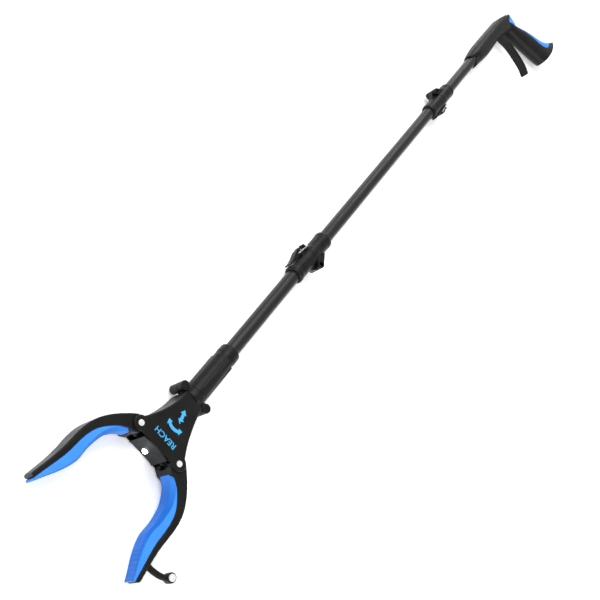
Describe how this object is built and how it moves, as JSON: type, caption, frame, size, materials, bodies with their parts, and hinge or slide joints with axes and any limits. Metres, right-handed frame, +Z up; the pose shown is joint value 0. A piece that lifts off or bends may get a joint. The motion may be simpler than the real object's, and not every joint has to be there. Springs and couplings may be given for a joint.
{
  "type": "reacher grabber",
  "caption": "Folding reacher grabber: pistol grip and trigger pull a cable that closes two padded jaws, with latched fold joints, swivel head, lamp and hook magnet.",
  "frame": {"origin": "under the middle of the bounding box, on the face the tool lies on", "axes": "+X along the tool from jaws to handle, +Y away from the grip, +Z up through the front face of the head"},
  "size_m": [1.1, 0.1492, 0.028],
  "materials": {
    "black_plastic": "satin moulded black plastic",
    "blue_rubber": "soft bright blue moulded rubber",
    "dark_tube": "dark grey anodised, satin",
    "black_rivet": "black coated",
    "screw_steel": "zinc plated",
    "pin_steel": "bright nickel plated",
    "spring_steel": "drawn spring wire",
    "cable_steel": "stranded wire",
    "magnet_nickel": "nickel plated",
    "lamp_lens": "clear, lit white",
    "circuit_board": "solder mask green",
    "cell_steel": "nickel plated can",
    "contact_brass": "spring brass"
  },
  "bodies": {
    "handle": {"handle_shell_front": "black_plastic", "handle_shell_rear": "black_plastic", "grip_insert": "blue_rubber", "handle_screws": "screw_steel", "trigger_pin": "screw_steel", "trigger_spring": "spring_steel", "upper_tube": "dark_tube", "upper_rivets": "black_rivet", "upper_hook_coupler": "black_plastic", "upper_fold_eyelet": "black_rivet"},
    "trigger": {"trigger": "black_plastic"},
    "cable_upper_run": {"cable_upper": "cable_steel", "cable_nipple": "cable_steel"},
    "middle_section": {"middle_tube": "dark_tube", "middle_rivets": "black_rivet", "lower_hook_coupler": "black_plastic", "lower_fold_eyelet": "black_rivet", "upper_lever_coupler": "black_plastic", "upper_latch_pin": "screw_steel"},
    "cable_middle_run": {"cable_middle": "cable_steel"},
    "upper_lever": {"upper_latch_lever": "black_plastic"},
    "upper_bail": {"upper_latch_bail": "spring_steel"},
    "lower_section": {"lower_tube": "dark_tube", "lower_rivets": "black_rivet", "lower_lever_coupler": "black_plastic", "lower_latch_pin": "screw_steel", "neck_sleeve": "black_plastic", "collar_front": "black_plastic", "collar_rear": "black_plastic", "collar_screws": "screw_steel"},
    "cable_lower_run": {"cable_lower": "cable_steel"},
    "lower_lever": {"lower_latch_lever": "black_plastic"},
    "lower_bail": {"lower_latch_bail": "spring_steel"},
    "head": {"head_cover_front": "black_plastic", "head_cover_rear": "black_plastic", "battery_cover": "black_plastic", "battery_screw": "screw_steel", "head_screws": "screw_steel", "led_housing": "black_plastic", "led_lens": "lamp_lens", "led_board": "circuit_board", "button_cells": "cell_steel", "battery_contact": "contact_brass", "jaw_pivot_pins": "pin_steel", "crosshead_spring": "spring_steel"},
    "light_switch": {"light_switch": "black_plastic"},
    "crosshead": {"crosshead": "black_plastic", "crosshead_pins": "screw_steel"},
    "jaw_left": {"jaw_arm_left": "black_plastic", "jaw_pad_left": "blue_rubber"},
    "jaw_right": {"jaw_arm_right": "black_plastic", "jaw_pad_right": "blue_rubber", "magnet": "magnet_nickel"}
  },
  "joints": [
    {"name": "fold_upper", "type": "hinge", "parent": "handle", "child": "middle_section", "pos_m": [0.18095, 0.0284, 0.014], "axis": [0, 0, -1], "range_deg": [0, 179]},
    {"name": "fold_lower", "type": "hinge", "parent": "middle_section", "child": "lower_section", "pos_m": [-0.18665, 0.0038, 0.014], "axis": [0, 0, 1], "range_deg": [0, 165]},
    {"name": "head_swivel", "type": "hinge", "parent": "lower_section", "child": "head", "pos_m": [-0.40245, 0.0161, 0.014], "axis": [1, 0, 0], "continuous": true},
    {"name": "trigger_pull", "type": "hinge", "parent": "handle", "child": "trigger", "pos_m": [0.42895, 0.0221, 0.014], "axis": [0, 0, 1], "range_deg": [0, 26], "stiffness_Nm_per_rad": 0.5, "springref_deg": -20.05},
    {"name": "upper_latch", "type": "hinge", "parent": "middle_section", "child": "upper_lever", "pos_m": [0.17545, 0.0038, 0.014], "axis": [0, 0, 1], "range_deg": [0, 110]},
    {"name": "upper_bail_turn", "type": "hinge", "parent": "upper_lever", "child": "upper_bail", "pos_m": [0.16995, 0.0041, 0.014], "axis": [0, 0, 1], "range_deg": [-142, 0]},
    {"name": "lower_latch", "type": "hinge", "parent": "lower_section", "child": "lower_lever", "pos_m": [-0.19215, 0.0284, 0.014], "axis": [0, 0, -1], "range_deg": [0, 110]},
    {"name": "lower_bail_turn", "type": "hinge", "parent": "lower_lever", "child": "lower_bail", "pos_m": [-0.19765, 0.0281, 0.014], "axis": [0, 0, -1], "range_deg": [-142, 0]},
    {"name": "jaw_left_turn", "type": "hinge", "parent": "head", "child": "jaw_left", "pos_m": [-0.45985, 0.0391, 0.014], "axis": [0, 0, 1], "range_deg": [0, 32.2]},
    {"name": "jaw_right_turn", "type": "hinge", "parent": "head", "child": "jaw_right", "pos_m": [-0.45985, -0.0069, 0.014], "axis": [0, 0, -1], "range_deg": [0, 32.2]},
    {"name": "crosshead_pull", "type": "slide", "parent": "head", "child": "crosshead", "axis": [1, 0, 0], "range_m": [0, 0.00342]},
    {"name": "cable_lower_pull", "type": "slide", "parent": "lower_section", "child": "cable_lower_run", "axis": [1, 0, 0], "range_m": [0, 0.00342]},
    {"name": "cable_middle_pull", "type": "slide", "parent": "middle_section", "child": "cable_middle_run", "axis": [1, 0, 0], "range_m": [0, 0.00342]},
    {"name": "cable_upper_pull", "type": "slide", "parent": "handle", "child": "cable_upper_run", "axis": [1, 0, 0], "range_m": [0, 0.00342]},
    {"name": "switch_slide", "type": "slide", "parent": "head", "child": "light_switch", "axis": [1, 0, 0], "range_m": [0, 0.004]}
  ],
  "couplings": [
    {"joint": "jaw_left_turn", "follows": "trigger_pull", "ratio": 1.2385},
    {"joint": "jaw_right_turn", "follows": "trigger_pull", "ratio": 1.2385},
    {"joint": "crosshead_pull", "follows": "trigger_pull", "m_per_rad": 0.0075344},
    {"joint": "cable_lower_pull", "follows": "trigger_pull", "m_per_rad": 0.0075344},
    {"joint": "cable_middle_pull", "follows": "trigger_pull", "m_per_rad": 0.0075344},
    {"joint": "cable_upper_pull", "follows": "trigger_pull", "m_per_rad": 0.0075344},
    {"joint": "upper_bail_turn", "follows": "upper_latch", "ratio": -1.285},
    {"joint": "lower_bail_turn", "follows": "lower_latch", "ratio": -1.285}
  ]
}
